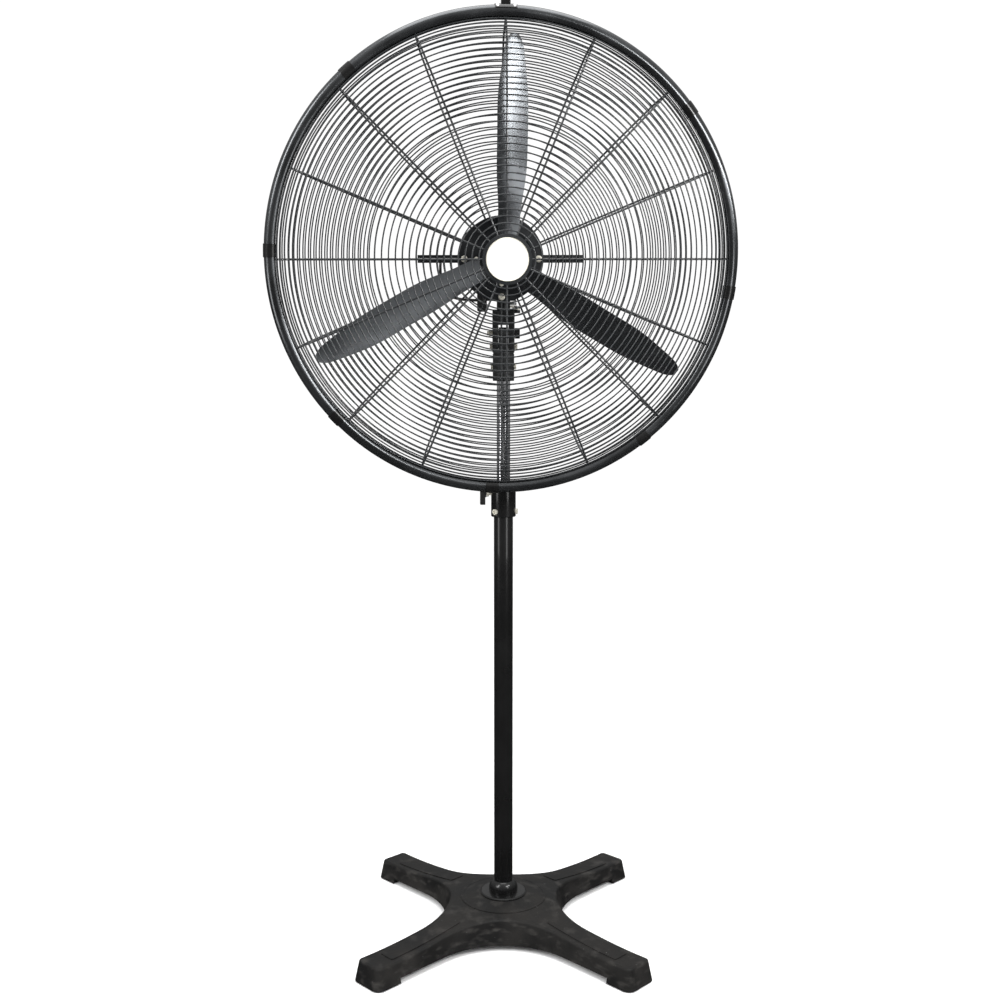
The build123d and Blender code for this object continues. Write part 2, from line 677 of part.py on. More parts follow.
STATOR_BACK = MOTOR_BACK + 24.0
STATOR_FRONT = MOTOR_FRONT - 24.0
ROTOR_R = 34.0
SLOT_COUNT = 24
with BuildPart() as stator_core:
    with BuildSketch(shifted(HEAD, z=STATOR_BACK)):
        Circle(MOTOR_R - SHELL_WALL - 0.3)
        Circle(ROTOR_R + 0.6, mode=Mode.SUBTRACT)
        with PolarLocations(44, SLOT_COUNT):
            SlotOverall(13, 5, mode=Mode.SUBTRACT)
    extrude(amount=STATOR_FRONT - STATOR_BACK)
save(stator_core.part, "stator_core")

with BuildPart() as windings:
    for back, front in ((STATOR_FRONT + 0.1, STATOR_FRONT + 12), (STATOR_BACK - 12, STATOR_BACK - 0.1)):
        with BuildSketch(shifted(HEAD, z=back)):
            Circle(54)
            Circle(37, mode=Mode.SUBTRACT)
        extrude(amount=front - back)
    fillet(windings.edges().filter_by(GeomType.CIRCLE), 3.5)
save(windings.part, "stator_windings")

rotor_core = head_disc(ROTOR_R, STATOR_BACK - 4, STATOR_FRONT + 4, SHAFT_R + 0.02).part
save(rotor_core, "rotor_core")

SHAFT_FRONT = 8.0
with BuildPart() as motor_shaft:
    with BuildSketch(shifted(HEAD, z=GEARBOX_BACK + 8)):
        Circle(SHAFT_R - 2.5)
    extrude(amount=MOTOR_BACK + 1 - GEARBOX_BACK - 8)
    with BuildSketch(shifted(HEAD, z=MOTOR_BACK + 1)):
        Circle(SHAFT_R)
    extrude(amount=SHAFT_FRONT - MOTOR_BACK - 1)
    # flat for the blade hub's grub screw
    with BuildSketch(shifted(HEAD, z=-40)):
        with Locations((0, SHAFT_R)):
            Rectangle(12, 1.6)
    extrude(amount=60, mode=Mode.SUBTRACT)
save(motor_shaft.part, "motor_shaft")

worm_mid = -(CRANK_Y + RIM_AHEAD)
with BuildPart() as worm:
    with BuildSketch(SECTION):
        with BuildLine():
            # a worm drawn as closed ridges of its own pitch
            pitch = 3.2
            low = worm_mid - 3.5 * pitch
            ridge = [(SHAFT_R - 2.48, low)]
            for k in range(7):
                z = low + k * pitch
                ridge += [(WORM_R - 1.3, z), (WORM_R, z + 0.9), (WORM_R, z + 1.9), (WORM_R - 1.3, z + 2.8)]
            Polyline(*ridge, (SHAFT_R - 2.48, low + 7 * pitch), close=True)
        make_face()
    revolve(axis=HEAD_AXIS)
save(worm.part, "worm")

# gearbox: a cast case that opens to the back, closed by the switch cap
CASE_R = 44.0
CASE_WALL = 3.5
with BuildPart() as gearbox_case:
    with BuildSketch(shifted(HEAD, z=GEARBOX_BACK)):
        Circle(CASE_R)
    extrude(amount=MOTOR_BACK - GEARBOX_BACK)
    with BuildSketch(shifted(HEAD, z=GEARBOX_BACK)):
        Circle(CASE_R - CASE_WALL)
    extrude(amount=MOTOR_BACK - GEARBOX_BACK - CASE_WALL, mode=Mode.SUBTRACT)
    with BuildSketch(shifted(HEAD, z=MOTOR_BACK - 10)):
        Circle(SHAFT_R + 2)
    extrude(amount=20, mode=Mode.SUBTRACT)
    # spindle guide below, and the seat of the pull knob above
    with BuildSketch(shifted(SWIVEL, x=CRANK_X, y=CRANK_Y, z=CASE_LOW - 4)):
        Circle(9)
    extrude(amount=12)
    with BuildSketch(shifted(SWIVEL, x=CRANK_X, y=CRANK_Y, z=CASE_LOW - 6)):
        Circle(4.5 + SLIDE_FIT)
    extrude(amount=24, mode=Mode.SUBTRACT)
    with BuildSketch(shifted(SWIVEL, x=CRANK_X, y=CRANK_Y, z=AXIS_RISE + 26)):
        Circle(9)
    extrude(amount=24)
    with BuildSketch(shifted(SWIVEL, x=CRANK_X, y=CRANK_Y, z=AXIS_RISE + 20)):
        Circle(4 + SLIDE_FIT)
    extrude(amount=40, mode=Mode.SUBTRACT)
save(gearbox_case.part, "gearbox_case")

KNOB_SEAT = AXIS_RISE + 50
with BuildPart() as swing_knob:
    with BuildSketch(shifted(SWIVEL, x=CRANK_X, y=CRANK_Y, z=AXIS_RISE + 15)):
        Circle(4)
    extrude(amount=KNOB_SEAT + 4 - AXIS_RISE - 15)
    with BuildSketch(shifted(SWIVEL, x=CRANK_X, y=CRANK_Y, z=KNOB_SEAT + 0.4)):
        Circle(7)
    extrude(amount=8)
    with BuildSketch(shifted(SWIVEL, x=CRANK_X, y=CRANK_Y, z=KNOB_SEAT + 8)):
        Circle(11)
    extrude(amount=12)
    fillet(swing_knob.faces().sort_by(Axis(SWIVEL.origin, SWIVEL.z_dir))[-1].edges(), 3)
save(swing_knob.part, "swing_knob")

with BuildPart() as switch_cap:
    with BuildSketch(shifted(HEAD, z=CAP_BACK)):
        Circle(CASE_R)
    extrude(amount=GEARBOX_BACK - 0.1 - CAP_BACK)
    fillet(switch_cap.faces().sort_by(HEAD_AXIS)[0].edges(), 8)
    with BuildSketch(shifted(HEAD, z=CAP_BACK + 3)):
        Circle(CASE_R - 3)
    extrude(amount=GEARBOX_BACK - CAP_BACK, mode=Mode.SUBTRACT)
    with BuildSketch(shifted(HEAD, z=CAP_BACK - 5)):
        Circle(4 + SLIDE_FIT)
    extrude(amount=12, mode=Mode.SUBTRACT)
save(switch_cap.part, "switch_cap")

with BuildPart() as speed_switch:
    with BuildSketch(shifted(HEAD, z=CAP_BACK + 3.1)):
        Rectangle(30, 26)
        Circle(4 + SLIDE_FIT, mode=Mode.SUBTRACT)
    extrude(amount=15)
save(speed_switch.part, "speed_switch")

with BuildPart() as speed_knob:
    with BuildSketch(shifted(HEAD, z=CAP_BACK - 14)):
        Circle(15)
        with PolarLocations(16.6, 12):
            Circle(2.4, mode=Mode.SUBTRACT)
    extrude(amount=13.5)
    fillet(speed_knob.faces().sort_by(HEAD_AXIS)[0].outer_wire().edges(), 0.6)
    with BuildSketch(shifted(HEAD, z=CAP_BACK - 16.5)):
        with Locations((0, 5)):
            Rectangle(3, 14)
    extrude(amount=4)
    with BuildSketch(shifted(HEAD, z=CAP_BACK - 2)):
        Circle(4)
    extrude(amount=16)
save(speed_knob.part, "speed_knob")

with BuildPart() as run_capacitor:
    with BuildSketch(shifted(HEAD, y=-27, z=CAP_BACK + 5)):
        RectangleRounded(34, 16, 2.5)
    extrude(amount=24)
save(run_capacitor.part, "run_capacitor")

# ---------------------------------------------------------------- saddle and guard plate

with BuildPart() as swivel_saddle:
    with BuildSketch(shifted(SWIVEL, z=BLOCK_TOP + 0.4)):
        Circle(12.5)
    extrude(amount=28)
    with BuildSketch(shifted(SWIVEL, x=AXIS_SIDE, y=2, z=MOTOR_LOW - 1.5)):
        RectangleRounded(60, 34, 4)
    extrude(amount=12)
    add(head_disc(MOTOR_R + 0.02, MOTOR_BACK, MOTOR_FRONT).part, mode=Mode.SUBTRACT)
    with BuildSketch(shifted(SWIVEL, z=BLOCK_TOP - 2)):
        Circle(SWIVEL_R + SLIDE_FIT)
    extrude(amount=PIN_TOP + 0.6 - BLOCK_TOP + 2, mode=Mode.SUBTRACT)
save(swivel_saddle.part, "swivel_saddle")

PLATE_BACK = PLATE_FRONT - 3.0
SCREW_CIRCLE = 67.1
PLATE_BORE = SHAFT_R + 8
with BuildPart() as guard_plate:
    add(ring_part([(PLATE_BORE, MOTOR_FRONT + 0.02), (60, MOTOR_FRONT + 0.02), (62, PLATE_BACK),
                   (PLATE_R - 1, PLATE_BACK), (PLATE_R, PLATE_BACK + 1), (PLATE_R, PLATE_FRONT - 0.8),
                   (PLATE_R - 0.8, PLATE_FRONT), (56, PLATE_FRONT), (53, PLATE_FRONT - 1.6),
                   (PLATE_BORE, PLATE_FRONT - 1.6)]))
    with BuildSketch(shifted(HEAD, z=PLATE_BACK - 20)):
        with PolarLocations(SCREW_CIRCLE, 4):
            Circle(2.52)
        with PolarLocations(45, 4):
            Circle(2.02)
    extrude(amount=40, mode=Mode.SUBTRACT)
save(guard_plate.part, "guard_plate")


def pan_screws(name, circle, count, seat, shank, head, tip):
    """Cross-recessed pan screws on a circle round the motor axis."""
    with BuildPart() as screws:
        with BuildSketch(shifted(HEAD, z=tip)):
            with PolarLocations(circle, count):
                Circle(shank)
        extrude(amount=seat + 0.1 - tip)
        with BuildSketch(shifted(HEAD, z=seat + 0.02)):
            with PolarLocations(circle, count):
                Circle(head)
        extrude(amount=head * 0.55)
        fillet(screws.edges().filter_by(GeomType.CIRCLE).group_by(HEAD_AXIS)[-1], head * 0.4)
        with BuildSketch(shifted(HEAD, z=seat + head * 0.25)):
            with PolarLocations(circle, count):
                Rectangle(head, head * 0.2)
                Rectangle(head * 0.2, head)
        extrude(amount=head, mode=Mode.SUBTRACT)
    save(screws.part, name)


pan_screws("plate_screws", SCREW_CIRCLE, 4, PLATE_FRONT, 2.5, 6.2, MOTOR_FRONT + 0.1)
pan_screws("motor_screws", 45, 4, PLATE_FRONT - 1.6, 2.0, 3.8, MOTOR_FRONT + 0.1)

# ---------------------------------------------------------------- guard brace, motor lead

BRACE_REACH = 150.0
BRACE_HEIGHT = 14.0
BRACE_FRONT = -76.6
with BuildPart() as guard_brace:
    # an angle bar each side: a foot on the motor's flank, a strip out behind the rear guard
    for side in (-1, 1):
        with BuildSketch(shifted(HEAD, z=BRACE_FRONT - 3)):
            with Locations((side * (MOTOR_R + 0.05 + BRACE_REACH) / 2, 0)):
                Rectangle(BRACE_REACH - MOTOR_R - 0.05, BRACE_HEIGHT)
        extrude(amount=3)
        with BuildSketch(shifted(HEAD, z=BRACE_FRONT - 24)):
            with Locations((side * (MOTOR_R + 1.55), 0)):
                Rectangle(3, BRACE_HEIGHT)
        extrude(amount=24)
save(guard_brace.part, "guard_brace")

LEAD_R = 2.6
GLAND_X = -38.0             # left face of the block under the motor
GLAND_W = -142.0
LEAD_Y = -76.0
CAP_GLAND_W = -222.0
CAP_GLAND_Y = -6.0
with BuildPart() as cable_glands:
    # a block under the motor's left flank, and a round gland on the switch cap
    with BuildSketch(shifted(HEAD, z=GLAND_W - 9)):
        with Locations((GLAND_X + 8.5, -80)):
            RectangleRounded(17, 34, 3)
    extrude(amount=18)
    with BuildSketch(shifted(HEAD, x=-CASE_R + 4, y=CAP_GLAND_Y, z=CAP_GLAND_W, turn=(0, -90, 0))):
        Circle(6.5)
    extrude(amount=15)
    add(head_disc(MOTOR_R + 0.02, MOTOR_BACK - 1, MOTOR_FRONT).part, mode=Mode.SUBTRACT)
    add(head_disc(CASE_R + 0.02, CAP_BACK, GEARBOX_BACK).part, mode=Mode.SUBTRACT)
    for x, y, w in ((GLAND_X, LEAD_Y, GLAND_W), (-CASE_R - 12, CAP_GLAND_Y, CAP_GLAND_W)):
        with BuildSketch(shifted(HEAD, x=x + 8, y=y, z=w, turn=(0, -90, 0))):
            Circle(LEAD_R + SLIDE_FIT)
        extrude(amount=14, mode=Mode.SUBTRACT)
save(cable_glands.part, "cable_glands")

LEAD_ROUTE = [
    (GLAND_X + 7.5, LEAD_Y, GLAND_W), (-86, LEAD_Y - 1, GLAND_W), (-106, -46, GLAND_W),
    (-107, 4, GLAND_W), (-90, CAP_GLAND_Y, CAP_GLAND_W), (-CASE_R - 4.5, CAP_GLAND_Y, CAP_GLAND_W),
]


def bend_radii(points):
    """A radius for each bend of a route, from its shorter neighbouring run and its turn."""
    radii = []
    for before, at, after in zip(points, points[1:], points[2:]):
        run_in = Vector(*at) - Vector(*before)
        run_out = Vector(*after) - Vector(*at)
        half_turn = radians(run_in.get_angle(run_out)) / 2
        radii.append(0.45 * min(run_in.length, run_out.length) / tan(half_turn))
    return radii


lead_radii = bend_radii(LEAD_ROUTE)
print("motor lead radii", [round(radius, 1) for radius in lead_radii])
with BuildPart() as motor_lead:
    with BuildLine(HEAD):
        lead_line = FilletPolyline(*LEAD_ROUTE, radius=lead_radii)
    with BuildSketch(Plane(origin=lead_line @ 0, z_dir=lead_line % 0)):
        Circle(LEAD_R)
    sweep(path=lead_line)
save(motor_lead.part, "motor_lead")

# ---------------------------------------------------------------- wire guards
# A rib of each guard as radius and height, from the rim to the middle.

FRONT_RIB = [(RIM_R - 17.0, 3.2), (388, 4.0), (366, 15), (250, 25), (38, 29)]
FRONT_BENDS = [12, 60, 300]
REAR_RIB = [(RIM_R - 17.0, -3.2), (387, -4.2), (372, -34), (300, -56), (180, -69),
            (PLATE_R - 4, PLATE_BACK - 1.9)]
REAR_BENDS = [8, 30, 150, 300]
HOOP_AT = RIM_R - 14.0


def ring_pitch(radius, knee, wide, close):
    """Spacing of the rings along a rib: closest near the rim, widest inside the knee."""
    if radius > 365:
        return 8.2
    return close if radius > knee else wide


def rib_line(points, bends):
    with BuildLine() as line:
        FilletPolyline(*points, radius=bends)
    return line.wires()[0]


def ring_centres(line, outward, last, knee, wide, close):
    """Where the rings lie on the outside of a rib, in SECTION's own axes."""
    centres = []
    along = 5.0
    while along < line.length:
        at = line.position_at(along, position_mode=PositionMode.LENGTH)
        way = line.tangent_at(along, position_mode=PositionMode.LENGTH)
        normal = Vector(way.Y, -way.X) if outward * -way.X > 0 else Vector(-way.Y, way.X)
        if at.X < last:
            break
        centres.append(at + normal * (RIB_R + RING_R - WELD_BITE))
        along += ring_pitch(at.X, knee, wide, close)
    return centres


def wire_guard(name, points, bends, outward, last, knee, wide, close):
    """Rings, ribs and the edge hoop of one guard, as welded wires."""
    line = rib_line(points, bends)
    centres = ring_centres(line, outward, last, knee, wide, close)
    with BuildPart() as rings:
        with BuildSketch(SECTION):
            for centre in centres:
                with Locations((centre.X, centre.Y)):
                    RegularPolygon(RING_R, WIRE_SIDES)
            with Locations((HOOP_AT, outward * 3.2)):
                RegularPolygon(HOOP_R, WIRE_SIDES)
        revolve(axis=HEAD_AXIS)
    with BuildPart() as rib:
        with BuildLine(SECTION):
            route = FilletPolyline(*points, radius=bends)
        with BuildSketch(Plane(origin=route @ 0, z_dir=route % 0)):
            RegularPolygon(RIB_R, WIRE_SIDES)
        sweep(path=route)
    ribs = [rib.part.rotate(HEAD_AXIS, k * 360 / RIB_COUNT) for k in range(RIB_COUNT)]
    guard = Compound(label=name, children=[*rings.part.solids(), *[r.solid() for r in ribs]])
    save(guard, name)


wire_guard("front_guard", FRONT_RIB, FRONT_BENDS, 1, 46, 250, 11.8, 9.3)
wire_guard("rear_guard", REAR_RIB, REAR_BENDS, -1, 80, 231, 12.2, 9.7)

RIM_CENTRE = RIM_R - RIM_TUBE_R
RIM_OPEN = 45               # degrees each side of inwards that the band is open


def rim_section(plane, inner, outer, opening):
    """The band's C section, open towards the motor axis."""
    span = 180 - opening
    with BuildSketch(plane) as section:
        with BuildLine():
            outside = CenterArc((RIM_CENTRE, 0), outer, -span, 2 * span)
            inside = CenterArc((RIM_CENTRE, 0), inner, -span, 2 * span)
            Line(outside @ 0, inside @ 0)
            Line(outside @ 1, inside @ 1)
        make_face()
    return section.sketch


with BuildPart() as rim_band:
    add(rim_section(SECTION, RIM_TUBE_R - RIM_WALL, RIM_TUBE_R, RIM_OPEN))
    revolve(axis=HEAD_AXIS)
save(rim_band.part, "rim_band")

# The spring clips are pushed on by hand, so they stand unevenly round the rim.
CLIP_ANGLES = (130.8, 177.9, 222.4, 266.5, 308.3, 351.7, 38.3)
CLIP_SPAN = 3.2
CLIP_WALL = 1.4


def clip(angle, span, opening=RIM_OPEN + 5):
    """A sleeve round the rim, opening inwards."""
    start = shifted(shifted(HEAD, turn=(0, 0, angle - span / 2)), turn=(90, 0, 0))
    with BuildPart() as sleeve:
        add(rim_section(start, RIM_TUBE_R + 0.02, RIM_TUBE_R + CLIP_WALL, opening))
        revolve(axis=HEAD_AXIS, revolution_arc=span)
    return sleeve.part


clips = [clip(angle, CLIP_SPAN).solid() for angle in CLIP_ANGLES]
save(Compound(label="spring_clips", children=clips), "spring_clips")

# The top clip is a saddle on the outer side of the rim, with a tab and a screw in each ear.
TOP_CLIP_SPAN = 5.2
TOP_CLIP_OPEN = 112
TAB_WIDTH = 16.0
TAB_DEPTH = 8.0
TAB_HEIGHT = 7.0
with BuildPart() as top_clip:
    add(clip(90, TOP_CLIP_SPAN, TOP_CLIP_OPEN))
    with BuildSketch(shifted(HEAD, y=RIM_CENTRE + RIM_TUBE_R + 0.3, turn=(-90, 0, 0))):
        RectangleRounded(TAB_WIDTH, TAB_DEPTH, 1.5)
    extrude(amount=TAB_HEIGHT)
save(top_clip.part, "top_clip")

EAR_SCREW_TURN = 2.0        # degrees round the rim from the tab to each screw
EAR_SCREW_TILT = 42         # degrees that a screw leans outwards from the front
with BuildPart() as clip_screws:
    for side in (-1, 1):
        radial = shifted(HEAD, turn=(0, 0, side * EAR_SCREW_TURN))
        leaning = shifted(radial, y=RIM_CENTRE, turn=(-EAR_SCREW_TILT, 0, 0))
        with BuildSketch(shifted(leaning, z=RIM_TUBE_R + CLIP_WALL + 0.02)):
            Circle(2.4)
        extrude(amount=1.8)
    fillet(clip_screws.edges().filter_by(GeomType.CIRCLE).group_by(HEAD_AXIS)[-1], 0.7)
save(clip_screws.part, "clip_screws")

CAP_PLATE_FRONT = BADGE_FRONT - 3.0
CAP_PLATE_BACK = 30.85
guard_cap = ring_part([(0, CAP_PLATE_BACK), (42, CAP_PLATE_BACK), (43, CAP_PLATE_BACK + 0.65),
                       (43, CAP_PLATE_FRONT - 0.6), (42.4, CAP_PLATE_FRONT), (0, CAP_PLATE_FRONT)])
save(guard_cap, "guard_cap")
BADGE_BACK = CAP_PLATE_FRONT + 0.02
badge_bezel = ring_part([(BADGE_R - 1.8, BADGE_BACK), (BADGE_R, BADGE_BACK), (BADGE_R, BADGE_FRONT - 0.6),
                         (BADGE_R - 0.6, BADGE_FRONT), (BADGE_R - 1.2, BADGE_FRONT),
                         (BADGE_R - 1.8, BADGE_FRONT - 0.6)])
save(badge_bezel, "badge_bezel")
badge = head_disc(BADGE_R - 1.84, BADGE_BACK, BADGE_FRONT - 1.0).part
save(badge, "badge")

# ---------------------------------------------------------------- blades and hub
# Stations out along a blade: radius, reach of the leading edge and of the trailing edge
# seen from the front, and pitch in degrees.
BLADE_STATIONS = (
    (42, 21, 12, 33), (74, 25.5, 15, 32), (120, 30, 18.5, 30), (175, 33, 22, 27.5), (245, 30.5, 24.5, 24.5),
    (300, 25, 22.5, 22.5), (340, 18.5, 17.5, 21), (362, 12.5, 12.5, 20), (BLADE_TIP_R, 5, 5.5, 20),
)
BLADE_THICK = 1.8
BLADE_CAMBER = 0.07


def blade_frame(index):
    """z out along the blade, x to its leading edge, y to the back."""
    turned = shifted(HEAD, z=BLADE_PLANE, turn=(0, 0, BLADE_LEAN + 120 * index))
    return shifted(turned, turn=(-90, 0, 0))


def blade_profile(plane, lead, trail, thick, bow):
    """A thin cambered strip across the blade."""
    middle = (lead - trail) / 2
    with BuildSketch(plane) as strip:
        with BuildLine():
            back = ThreePointArc((-trail, thick), (middle, bow + thick), (lead, thick))
            front = ThreePointArc((-trail, 0), (middle, bow), (lead, 0))
            Line(back @ 0, front @ 0)
            Line(back @ 1, front @ 1)
        make_face()
    return strip.sketch


def make_blade(index):
    with BuildPart() as blade:
        for radius, lead, trail, pitch in BLADE_STATIONS:
            plane = shifted(blade_frame(index), z=radius, turn=(0, 0, pitch))
            spread = 1 / cos(radians(pitch))
            bow = BLADE_CAMBER * (lead + trail)
            add(blade_profile(plane, lead * spread, trail * spread, BLADE_THICK, bow))
        loft()
    return blade.part


for index in range(3):
    save(make_blade(index), f"blade_{index + 1}")
ROOT_PITCH = 32.5


def arm_plane(index, radius, lift=0.0):
    """On the back of a blade's root, square to the chord there."""
    along = shifted(blade_frame(index), z=radius, turn=(0, 0, ROOT_PITCH))
    return shifted(along, y=lift, turn=(-90, 0, 0))


HUB_R = 19.0
HUB_BACK = -44.0
HUB_FRONT = -8.0
GRUB_AT = -37.0
ARM_LIFT = BLADE_THICK + 3.2
with BuildPart() as blade_hub:
    with BuildSketch(shifted(HEAD, z=HUB_BACK)):
        Circle(HUB_R)
    extrude(amount=HUB_FRONT - HUB_BACK)
    for index in range(3):
        with BuildSketch(arm_plane(index, 0, ARM_LIFT)):
            with Locations((0, -42)):
                Rectangle(24, 66)
        extrude(amount=3)
    with BuildSketch(shifted(HEAD, z=-60)):
        Circle(SHAFT_R + 0.02)
    extrude(amount=80, mode=Mode.SUBTRACT)
    with BuildSketch(spoke(90, axial=GRUB_AT)):
        Circle(3.02)
    extrude(amount=HUB_R + 2, mode=Mode.SUBTRACT)
save(blade_hub.part, "blade_hub")

with BuildPart() as hub_screw:
    with BuildSketch(spoke(90, axial=GRUB_AT, radius=SHAFT_R - 0.78)):
        Circle(3)
    extrude(amount=HUB_R - SHAFT_R)
    with BuildSketch(spoke(90, axial=GRUB_AT, radius=HUB_R - 4)):
        RegularPolygon(1.5, 6, major_radius=False)
    extrude(amount=8, mode=Mode.SUBTRACT)
save(hub_screw.part, "hub_screw")
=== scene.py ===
import bmesh
import bpy
import json
from math import atan2, cos, hypot, pi, radians, sin, tan
from mathutils import Matrix, Vector


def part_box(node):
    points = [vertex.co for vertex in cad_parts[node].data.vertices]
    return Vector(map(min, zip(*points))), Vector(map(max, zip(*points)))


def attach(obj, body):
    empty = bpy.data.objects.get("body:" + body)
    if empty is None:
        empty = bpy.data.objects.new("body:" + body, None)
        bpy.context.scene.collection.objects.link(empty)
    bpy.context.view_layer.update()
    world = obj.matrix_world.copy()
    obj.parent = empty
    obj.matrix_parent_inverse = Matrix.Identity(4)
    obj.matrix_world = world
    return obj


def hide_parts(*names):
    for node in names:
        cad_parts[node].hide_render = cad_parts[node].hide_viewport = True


# Looks of the pedestal fan. Everything is in metres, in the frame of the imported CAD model.

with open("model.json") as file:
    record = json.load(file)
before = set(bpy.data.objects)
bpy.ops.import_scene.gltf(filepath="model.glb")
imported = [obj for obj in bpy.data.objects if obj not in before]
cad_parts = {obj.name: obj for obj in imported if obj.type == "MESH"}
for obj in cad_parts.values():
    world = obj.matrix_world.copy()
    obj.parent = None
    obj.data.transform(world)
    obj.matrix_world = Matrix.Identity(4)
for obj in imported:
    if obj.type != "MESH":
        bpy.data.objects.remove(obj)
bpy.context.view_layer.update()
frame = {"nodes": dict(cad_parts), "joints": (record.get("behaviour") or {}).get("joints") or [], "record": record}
scene = bpy.context.scene
scene.view_settings.view_transform = "Standard"

MM = 0.001

# ---------------------------------------------------------------- frames from the joints

JOINTS = {joint["name"]: joint for joint in frame["joints"]}
FRONT = Vector(JOINTS["impeller_spin"]["axis"]).normalized()
RIM_CENTRE = Vector(JOINTS["impeller_spin"]["pos_m"])
NECK_UP = Vector(JOINTS["head_swing"]["axis"]).normalized()
RIGHT = NECK_UP.cross(FRONT)

# HEAD has its origin in the middle of the guard's rim: x right, y up, z to the front.
HEAD = Matrix((RIGHT, NECK_UP, FRONT)).transposed().to_4x4()
HEAD.translation = RIM_CENTRE
TO_HEAD = HEAD.inverted()
WORLD = Matrix.Identity(4)

# ---------------------------------------------------------------- camera

CAMERA_AT = Vector((-0.00646, -2.1337, 1.02207))
CAMERA_PITCH = 5.174        # degrees below the horizon
LENS = 40.96

camera_data = bpy.data.cameras.new("camera")
camera_data.lens = LENS
camera_data.sensor_width = 36
camera = bpy.data.objects.new("camera", camera_data)
camera.location = CAMERA_AT
camera.rotation_euler = (radians(90 - CAMERA_PITCH), 0, 0)
scene.collection.objects.link(camera)
scene.camera = camera

# ---------------------------------------------------------------- materials


def new_material(name, values):
    """A Principled material, with constants set on the shader's own sockets."""
    material = bpy.data.materials.new(name)
    material.use_nodes = True
    shader = material.node_tree.nodes["Principled BSDF"]
    for socket, value in values.items():
        shader.inputs[socket].default_value = value
    return material


def grey(value, warm=0.0):
    """A near-neutral colour; warm above 0 leans it to brown."""
    return (value * (1 + warm), value, value * (1 - warm), 1)


def noise(material, scale, detail=4.0, stretch=(1, 1, 1), low=0.4, high=0.6):
    """A noise pattern in object space, spread so that low to high becomes 0 to 1."""
    nodes, links = material.node_tree.nodes, material.node_tree.links
    place = nodes.new("ShaderNodeTexCoord")
    mapping = nodes.new("ShaderNodeMapping")
    mapping.inputs["Scale"].default_value = stretch
    texture = nodes.new("ShaderNodeTexNoise")
    texture.inputs["Scale"].default_value = scale
    texture.inputs["Detail"].default_value = detail
    spread = nodes.new("ShaderNodeMapRange")
    spread.inputs["From Min"].default_value = low
    spread.inputs["From Max"].default_value = high
    links.new(place.outputs["Object"], mapping.inputs["Vector"])
    links.new(mapping.outputs["Vector"], texture.inputs["Vector"])
    links.new(texture.outputs["Fac"], spread.inputs["Value"])
    return spread.outputs["Result"]


def colour_between(material, factor, first, second):
    """A colour that runs from first to second with factor. Either may be a socket."""
    nodes, links = material.node_tree.nodes, material.node_tree.links
    mix = nodes.new("ShaderNodeMix")
    mix.data_type = "RGBA"
    links.new(factor, mix.inputs["Factor"])
    for socket, value in (("A", first), ("B", second)):
        target = [i for i in mix.inputs if i.name == socket and i.type == "RGBA"][0]
        if isinstance(value, bpy.types.NodeSocket):
            links.new(value, target)
        else:
            target.default_value = value
    return [o for o in mix.outputs if o.type == "RGBA"][0]


def value_between(material, factor, low, high):
    """A number that runs from low to high with factor."""
    nodes, links = material.node_tree.nodes, material.node_tree.links
    spread = nodes.new("ShaderNodeMapRange")
    spread.inputs["To Min"].default_value = low
    spread.inputs["To Max"].default_value = high
    links.new(factor, spread.inputs["Value"])
    return spread.outputs["Result"]


def feed(material, socket, source):
    shader = material.node_tree.nodes["Principled BSDF"]
    material.node_tree.links.new(source, shader.inputs[socket])


def add_bump(material, *layers):
    """Bumps of (height socket, strength, depth in metres), one on top of the other."""
    nodes, links = material.node_tree.nodes, material.node_tree.links
    normal = None
    for height, strength, depth in layers:
        bump = nodes.new("ShaderNodeBump")
        bump.inputs["Strength"].default_value = strength
        bump.inputs["Distance"].default_value = depth
        links.new(height, bump.inputs["Height"])
        if normal:
            links.new(normal, bump.inputs["Normal"])
        normal = bump.outputs["Normal"]
    feed(material, "Normal", normal)


def cast_charcoal():
    """Powder-coated casting: fine grain, dusty patches and small pale scuffs."""
    material = new_material("cast_charcoal", {"Specular IOR Level": 0.2})
    patches = noise(material, 14, 5, low=0.42, high=0.62)
    body = colour_between(material, patches, grey(0.006, 0.02), grey(0.013, 0.08))
    dust = noise(material, 38, 8, stretch=(1, 1, 2.5), low=0.52, high=0.76)
    dusty = colour_between(material, dust, body, grey(0.030, 0.07))
    scuffs = noise(material, 210, 3, stretch=(1, 1, 1), low=0.73, high=0.80)
    feed(material, "Base Color", colour_between(material, scuffs, dusty, grey(0.16)))
    feed(material, "Roughness", value_between(material, patches, 0.52, 0.72))
    add_bump(material, (noise(material, 70, 3, low=0.3, high=0.7), 0.35, 0.6 * MM),
             (noise(material, 900, 2, low=0.2, high=0.8), 0.25, 0.15 * MM))
    return material


def enamel(name, value, roughness, coat=0.0, grain=260.0, warm=0.0, metallic=0.0, peel=0.08, shine=0.5):
    """Sprayed paint: a soft orange peel, faint dust and uneven gloss."""
    material = new_material(name, {"Coat Weight": coat, "Coat Roughness": 0.06, "Metallic": metallic,
                                   "Specular IOR Level": shine})
    cloud = noise(material, 11, 4)
    dust = noise(material, 420, 5, low=0.66, high=0.82)
    body = colour_between(material, cloud, grey(value * 0.85, warm), grey(value * 1.15, warm))
    feed(material, "Base Color", colour_between(material, dust, body, grey(value * 1.8 + 0.01)))
    feed(material, "Roughness", value_between(material, cloud, roughness * 0.85, roughness * 1.2))
    add_bump(material, (noise(material, grain, 2, low=0.25, high=0.75), peel, 0.2 * MM))
    return material


